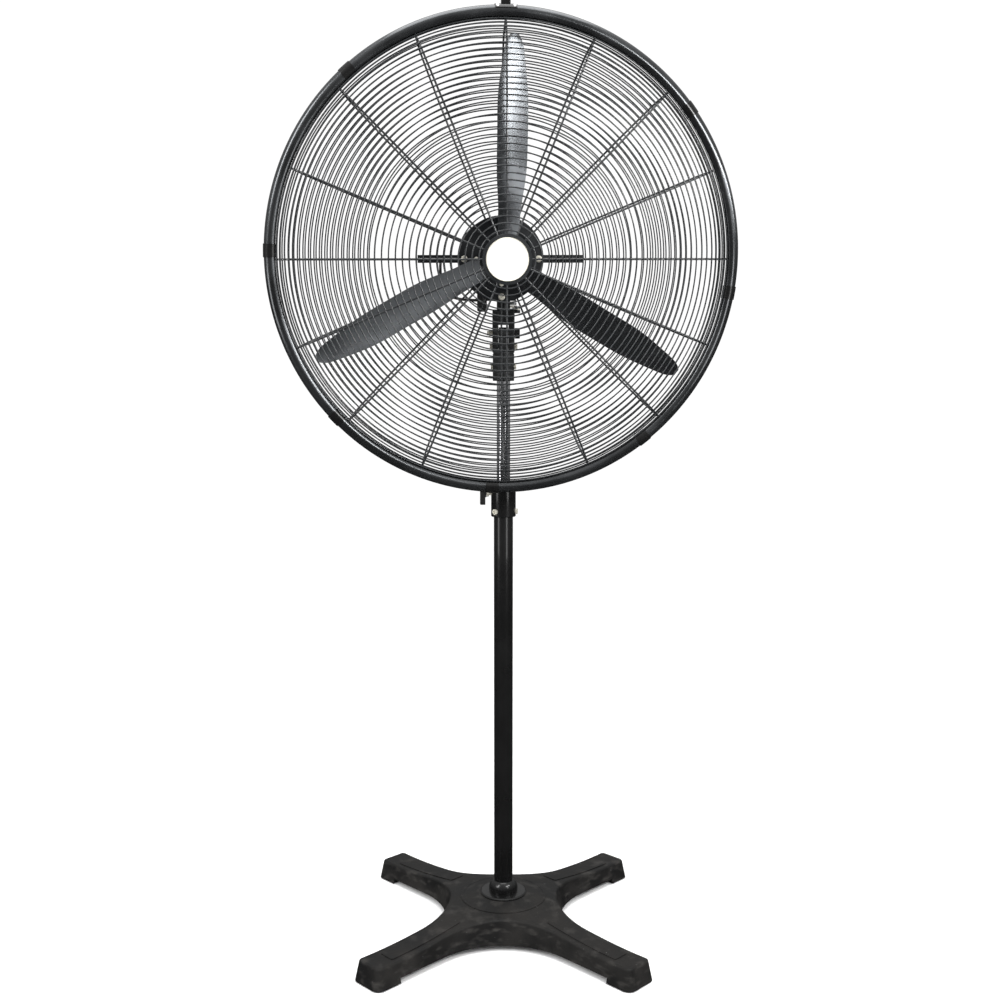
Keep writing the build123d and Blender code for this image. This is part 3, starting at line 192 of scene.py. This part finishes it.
def plated(name, colour, roughness, stretch=(1, 1, 1), scale=600.0, streak=0.2, metallic=1.0):
    """Bare or plated metal with fine marks along one direction."""
    material = new_material(name, {"Metallic": metallic})
    marks = noise(material, scale, 3, stretch=stretch, low=0.3, high=0.7)
    cloud = noise(material, 30, 4)
    darker = tuple(c * 0.82 for c in colour[:3]) + (1,)
    feed(material, "Base Color", colour_between(material, cloud, darker, colour))
    rough = value_between(material, marks, roughness * (1 - streak), roughness * (1 + streak))
    feed(material, "Roughness", rough)
    add_bump(material, (marks, 0.05, 0.05 * MM))
    return material


def moulded(name, value, roughness, warm=0.0, texture=900.0):
    """Moulded plastic or rubber with a fine spark-eroded texture."""
    material = new_material(name, {"Specular IOR Level": 0.45})
    cloud = noise(material, 26, 4)
    colour = colour_between(material, cloud, grey(value * 0.88, warm), grey(value * 1.1, warm))
    feed(material, "Base Color", colour)
    feed(material, "Roughness", value_between(material, cloud, roughness * 0.92, roughness * 1.08))
    add_bump(material, (noise(material, texture, 2, low=0.2, high=0.8), 0.15, 0.1 * MM))
    return material


SLOT_MATERIALS = {
    "cast_black": cast_charcoal(),
    "rubber_black": moulded("rubber_black", 0.02, 0.7),
    "black_gloss": enamel("black_gloss", 0.005, 0.28, coat=0.35, shine=0.2),
    "black_satin": enamel("black_satin", 0.011, 0.36, coat=0.08, warm=-0.12, shine=0.35),
    "chrome": plated("chrome", (0.83, 0.83, 0.85, 1), 0.07, stretch=(1, 1, 0.04), scale=900),
    "zinc": plated("zinc", (0.86, 0.83, 0.72, 1), 0.34, metallic=0.65),
    "steel": plated("steel", (0.52, 0.52, 0.53, 1), 0.34, stretch=(1, 1, 0.1)),
    "brass": plated("brass", (0.78, 0.6, 0.28, 1), 0.3),
    "copper": plated("copper", (0.72, 0.34, 0.16, 1), 0.35, scale=1200),
    "plastic_black": moulded("plastic_black", 0.014, 0.42),
    "plastic_grey": moulded("plastic_grey", 0.3, 0.5),
    "blade_grey": enamel("blade_grey", 0.13, 0.26, coat=0.05, grain=60, warm=-0.05, metallic=0.92,
                         peel=0.004),
    "wire_black": enamel("wire_black", 0.018, 0.26, coat=0.5, grain=900, warm=-0.08),
    "rim_dark": enamel("rim_dark", 0.075, 0.24, coat=0.2, grain=50, warm=-0.04, metallic=0.9, peel=0.008),
    "badge_white": enamel("badge_white", 0.86, 0.35, coat=0.2, grain=1500, peel=0.03),
    "cast_case": enamel("cast_case", 0.010, 0.45, grain=500, warm=-0.08, peel=0.25),
}

CAD_SMOOTH = 32             # degrees: a sharper edge of a CAD node stays an edge
node_slots = {part["node"]: part["material_slot"] for part in frame["record"]["subparts"]}
for name, node in frame["nodes"].items():
    node.data.materials.clear()
    node.data.materials.append(SLOT_MATERIALS[node_slots[name]])
    node.data.polygons.foreach_set("use_smooth", [True] * len(node.data.polygons))
    node.data.set_sharp_from_angle(angle=radians(CAD_SMOOTH))

# ---------------------------------------------------------------- mesh helpers


def rounded(points, radius, closed=True, steps=4):
    """A plane line with its corners turned into arcs. radius is one, or one for each corner."""
    points = [Vector(p) for p in points]
    count = len(points)
    radii = radius if isinstance(radius, (list, tuple)) else [radius] * count
    line = []
    for index, at in enumerate(points):
        if radii[index] == 0 or not closed and index in (0, count - 1):
            line.append(at)
            continue
        before = (points[index - 1] - at).normalized()
        after = (points[(index + 1) % count] - at).normalized()
        half = before.angle(after) / 2
        first = at + before * radii[index] / tan(half)
        last = at + after * radii[index] / tan(half)
        centre = at + (before + after).normalized() * radii[index] / sin(half)
        start, end = (first - centre).normalized(), (last - centre).normalized()
        line += [centre + start.slerp(end, step / steps) * radii[index] for step in range(steps + 1)]
    return line


def turned(profile, matrix=HEAD, steps=160, start=0.0, span=2 * pi):
    """Vertices and faces of a closed profile of radius and height, swept round z."""
    whole = span > 2 * pi - 1e-6
    rows = steps if whole else steps + 1
    size = len(profile)
    verts = []
    for row in range(rows):
        angle = start + span * row / steps
        verts += [matrix @ Vector((r * cos(angle), r * sin(angle), h)) for r, h in profile]
    faces = []
    for row in range(steps):
        here, there = row * size, (row + 1) % rows * size
        for index in range(size):
            after = (index + 1) % size
            faces.append((here + index, there + index, there + after, here + after))
    if not whole:
        faces += [tuple(range(size)), tuple(range((rows - 1) * size, rows * size))]
    return verts, faces


def circle(radius, height, wire, sides=10):
    """The round section of a wire ring, as radius and height."""
    turns = [2 * pi * side / sides for side in range(sides)]
    return [(radius + wire * cos(a), height + wire * sin(a)) for a in turns]


def swept(line, wire, angle, sides=10):
    """A round wire along a line of radius and height, at one angle round the head."""
    out = Vector((cos(angle), sin(angle), 0))
    across = Vector((-sin(angle), cos(angle), 0))
    path = [out * p.x + Vector((0, 0, p.y)) for p in line]
    verts, faces = [], []
    for index, at in enumerate(path):
        way = (path[min(index + 1, len(path) - 1)] - path[max(index - 1, 0)]).normalized()
        normal = way.cross(across)
        for side in range(sides):
            turn = 2 * pi * side / sides
            verts.append(HEAD @ (at + (normal * cos(turn) + across * sin(turn)) * wire))
    for index in range(len(path) - 1):
        for side in range(sides):
            here, after = index * sides + side, index * sides + (side + 1) % sides
            faces.append((here, after, after + sides, here + sides))
    faces += [tuple(range(sides)), tuple(range(len(verts) - sides, len(verts)))]
    return verts, faces


def piece(name, body, slot, shapes, replaced=(), smooth=40):
    """One object made of several shapes, riding on a body in that slot's material."""
    build = bmesh.new()
    for verts, faces in shapes:
        made = [build.verts.new(v) for v in verts]
        for face in faces:
            build.faces.new([made[index] for index in face])
    bmesh.ops.remove_doubles(build, verts=build.verts, dist=1e-7)
    bmesh.ops.recalc_face_normals(build, faces=build.faces)
    mesh = bpy.data.meshes.new(name)
    build.to_mesh(mesh)
    build.free()
    mesh.polygons.foreach_set("use_smooth", [True] * len(mesh.polygons))
    mesh.set_sharp_from_angle(angle=radians(smooth))
    mesh.materials.append(SLOT_MATERIALS[slot])
    made_object = bpy.data.objects.new(name, mesh)
    scene.collection.objects.link(made_object)
    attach(made_object, body)
    if replaced:
        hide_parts(*replaced)
    return made_object


def islands(node):
    """The loose solids of a CAD node, each as a list of its points in HEAD."""
    mesh = bmesh.new()
    mesh.from_mesh(frame["nodes"][node].data)
    bmesh.ops.remove_doubles(mesh, verts=mesh.verts, dist=1e-6)
    waiting = set(mesh.verts)
    found = []
    while waiting:
        stack = [waiting.pop()]
        points = []
        while stack:
            vert = stack.pop()
            points.append(TO_HEAD @ vert.co)
            near = {edge.other_vert(vert) for edge in vert.link_edges} & waiting
            waiting -= near
            stack += near
        found.append(points)
    mesh.free()
    return found


# ---------------------------------------------------------------- column

pole_low, pole_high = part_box("outer_pole")
pole_r = (pole_high.x - pole_low.x) / 2
pole_wall = 1.6 * MM
pole_outline = rounded([(pole_r - pole_wall, pole_low.z), (pole_r, pole_low.z),
                        (pole_r, pole_high.z), (pole_r - pole_wall, pole_high.z)], 0.4 * MM)
piece("pole_tube", "base", "black_gloss", [turned(pole_outline, WORLD, 96)], ["outer_pole"])

tube_low, tube_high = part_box("inner_tube")
tube_r = (tube_high.x - tube_low.x) / 2
tube_wall = 1.5 * MM
tube_outline = rounded([(tube_r - tube_wall, tube_low.z), (tube_r, tube_low.z),
                        (tube_r, tube_high.z), (tube_r - tube_wall, tube_high.z)], 0.3 * MM)
piece("chrome_tube", "mast", "chrome", [turned(tube_outline, WORLD, 96)], ["inner_tube"])

# ---------------------------------------------------------------- guards

RIM_R = 413 * MM
RIM_TUBE_R = 11 * MM
RIM_WALL = 1.4 * MM
RIM_OPEN = radians(45)      # half the opening of the band's section
HOOP_R = 3 * MM
RIB_R = 1.8 * MM
RING_R = 1.2 * MM
RIB_COUNT = 16
RING_STEPS = 200

# The line of a rib as radius and height, from the rim to the middle, and its bends.
FRONT_RIB = [(0.396, 0.0032), (0.388, 0.004), (0.366, 0.015), (0.250, 0.025), (0.038, 0.029)]
FRONT_BENDS = [0, 0.012, 0.060, 0.300, 0]
REAR_RIB = [(0.396, -0.0032), (0.387, -0.0042), (0.372, -0.034), (0.300, -0.056),
            (0.180, -0.069), (0.072, -0.0725)]
REAR_BENDS = [0, 0.008, 0.030, 0.150, 0.300, 0]


def guard(name, node, rib, bends):
    """A wire guard on the CAD guard's own rings, with ribs and an edge hoop.

    A ring or hoop spans about its wire's width in radius, and a rib spans far more.
    """
    shapes = []
    for points in islands(node):
        radii = [hypot(p.x, p.y) for p in points]
        spread = max(radii) - min(radii)
        if spread > 4 * HOOP_R:
            continue        # a rib
        wire = HOOP_R if spread > 3 * RING_R else RING_R
        height = sum(p.z for p in points) / len(points)
        shapes.append(turned(circle(sum(radii) / len(radii), height, wire), steps=RING_STEPS))
    line = rounded(rib, bends, closed=False, steps=6)
    for index in range(RIB_COUNT):
        shapes.append(swept(line, RIB_R, pi / 2 + 2 * pi * index / RIB_COUNT))
    return piece(name, "head", "wire_black", shapes, [node])


guard("front_wires", "front_guard", FRONT_RIB, FRONT_BENDS)
guard("rear_wires", "rear_guard", REAR_RIB, REAR_BENDS)


ARC_STEPS = 40
LIP_STEPS = 4


def sleeve(inner, outer, opening):
    """A C section round the rim's own middle, open towards the motor, with rounded lips."""
    middle_r = RIM_R - RIM_TUBE_R
    reach = pi - opening
    lip = (outer - inner) / 2
    line = []
    for radius, way in ((outer, 1), (inner, -1)):
        for step in range(ARC_STEPS + 1):
            turn = way * reach * (2 * step / ARC_STEPS - 1)
            line.append((middle_r + radius * cos(turn), radius * sin(turn)))
        # the rounded lip between the two faces
        end = way * reach
        centre = (middle_r + (inner + lip) * cos(end), (inner + lip) * sin(end))
        for step in range(1, LIP_STEPS):
            turn = end + pi * step / LIP_STEPS
            if way < 0:
                turn += pi
            line.append((centre[0] + lip * cos(turn), centre[1] + lip * sin(turn)))
    return line


rim_outline = sleeve(RIM_TUBE_R - RIM_WALL, RIM_TUBE_R, RIM_OPEN)
piece("rim_channel", "head", "rim_dark", [turned(rim_outline, steps=256)], ["rim_band"])

CLIP_WALL = 1.4 * MM
clip_outline = sleeve(RIM_TUBE_R + 0.02 * MM, RIM_TUBE_R + CLIP_WALL, RIM_OPEN + radians(5))
clip_shapes = []
for points in islands("spring_clips"):
    angles = [atan2(p.y, p.x) for p in points]
    if max(angles) - min(angles) > pi:      # this one lies across the seam of atan2
        angles = [angle % (2 * pi) for angle in angles]
    start, span = min(angles), max(angles) - min(angles)
    clip_shapes.append(turned(clip_outline, steps=6, start=start, span=span))
piece("rim_clips", "head", "black_gloss", clip_shapes, ["spring_clips"])

# ---------------------------------------------------------------- motor lead

LEAD_R = 2.6 * MM
# From the block under the motor round its flank to the gland on the switch cap, in HEAD.
LEAD_ROUTE = [
    (-0.0305, -0.076, -0.142), (-0.086, -0.077, -0.142), (-0.106, -0.046, -0.142),
    (-0.107, 0.004, -0.142), (-0.090, -0.006, -0.222), (-0.0485, -0.006, -0.222),
]
lead_curve = bpy.data.curves.new("lead_wire", "CURVE")
lead_curve.dimensions = "3D"
lead_curve.bevel_depth = LEAD_R
lead_curve.bevel_resolution = 6
lead_curve.resolution_u = 16
lead_curve.use_fill_caps = True
lead_spline = lead_curve.splines.new("NURBS")
lead_spline.points.add(len(LEAD_ROUTE) - 1)
for point, at in zip(lead_spline.points, LEAD_ROUTE):
    point.co = (*(HEAD @ Vector(at)), 1)
lead_spline.order_u = 3
lead_spline.use_endpoint_u = True
lead_curve.materials.append(SLOT_MATERIALS["rubber_black"])
lead = bpy.data.objects.new("lead_wire", lead_curve)
scene.collection.objects.link(lead)
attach(lead, "head")
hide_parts("motor_lead")

# ---------------------------------------------------------------- floor, light

FLOOR = 6.0                 # half the floor's width
floor_mesh = bpy.data.meshes.new("floor")
floor_corners = [(-FLOOR, -FLOOR, 0), (FLOOR, -FLOOR, 0), (FLOOR, FLOOR, 0), (-FLOOR, FLOOR, 0)]
floor_mesh.from_pydata(floor_corners, [], [(0, 1, 2, 3)])
floor = bpy.data.objects.new("floor", floor_mesh)
scene.collection.objects.link(floor)
floor_material = new_material("floor", {"Roughness": 0.9, "Specular IOR Level": 0.1})
floor_colour = colour_between(floor_material, noise(floor_material, 3), grey(0.965), grey(0.985))
feed(floor_material, "Base Color", floor_colour)
floor_mesh.materials.append(floor_material)
floor.visible_glossy = False      # shiny parts see the dim room below them, not the floor


def studio_world():
    """White to the camera and to matt surfaces, a dim room with a pale ceiling to shiny ones."""
    world = bpy.data.worlds.new("studio")
    world.use_nodes = True
    nodes, links = world.node_tree.nodes, world.node_tree.links
    nodes.clear()
    place = nodes.new("ShaderNodeTexCoord")
    split = nodes.new("ShaderNodeSeparateXYZ")
    links.new(place.outputs["Generated"], split.inputs["Vector"])
    height = nodes.new("ShaderNodeMapRange")
    height.inputs["From Min"].default_value = -0.1
    height.inputs["From Max"].default_value = 0.9
    links.new(split.outputs["Z"], height.inputs["Value"])
    ramp = nodes.new("ShaderNodeValToRGB")
    ramp.color_ramp.elements[0].color = (0.03, 0.03, 0.032, 1)
    ramp.color_ramp.elements[1].color = (0.9, 0.9, 0.9, 1)
    links.new(height.outputs["Result"], ramp.inputs["Fac"])
    room = nodes.new("ShaderNodeBackground")
    links.new(ramp.outputs["Color"], room.inputs["Color"])
    white = nodes.new("ShaderNodeBackground")
    white.inputs["Color"].default_value = (1, 1, 1, 1)
    white.inputs["Strength"].default_value = 1.05
    path = nodes.new("ShaderNodeLightPath")
    mix = nodes.new("ShaderNodeMixShader")
    links.new(path.outputs["Is Glossy Ray"], mix.inputs["Fac"])
    links.new(white.outputs["Background"], mix.inputs[1])
    links.new(room.outputs["Background"], mix.inputs[2])
    output = nodes.new("ShaderNodeOutputWorld")
    links.new(mix.outputs["Shader"], output.inputs["Surface"])
    return world


scene.world = studio_world()


def softbox(name, at, aim, width, height, watts):
    """A soft rectangular lamp that faces a point."""
    data = bpy.data.lights.new(name, "AREA")
    data.shape = "RECTANGLE"
    data.size, data.size_y = width, height
    data.energy = watts
    lamp = bpy.data.objects.new(name, data)
    lamp.location = at
    lamp.rotation_euler = (Vector(aim) - Vector(at)).to_track_quat("-Z", "Y").to_euler()
    scene.collection.objects.link(lamp)


# side lies level with the upper blade, which mirrors it; the strips show in the chrome tube
softbox("key", (-2.2, -1.9, 2.4), (0, 0, 1.1), 0.7, 1.6, 40)
softbox("side", (1.20, -1.24, 1.61), (0, -0.1, 1.5), 1.5, 0.2, 26)
softbox("left_strip", (-1.3, -0.75, 0.92), (0, 0, 0.92), 0.5, 0.45, 3)
softbox("right_strip", (0.98, -1.13, 0.92), (0, 0, 0.92), 0.4, 0.45, 3)
softbox("top", (0.0, -0.3, 3.4), (0, 0, 0.8), 2.0, 2.0, 50)
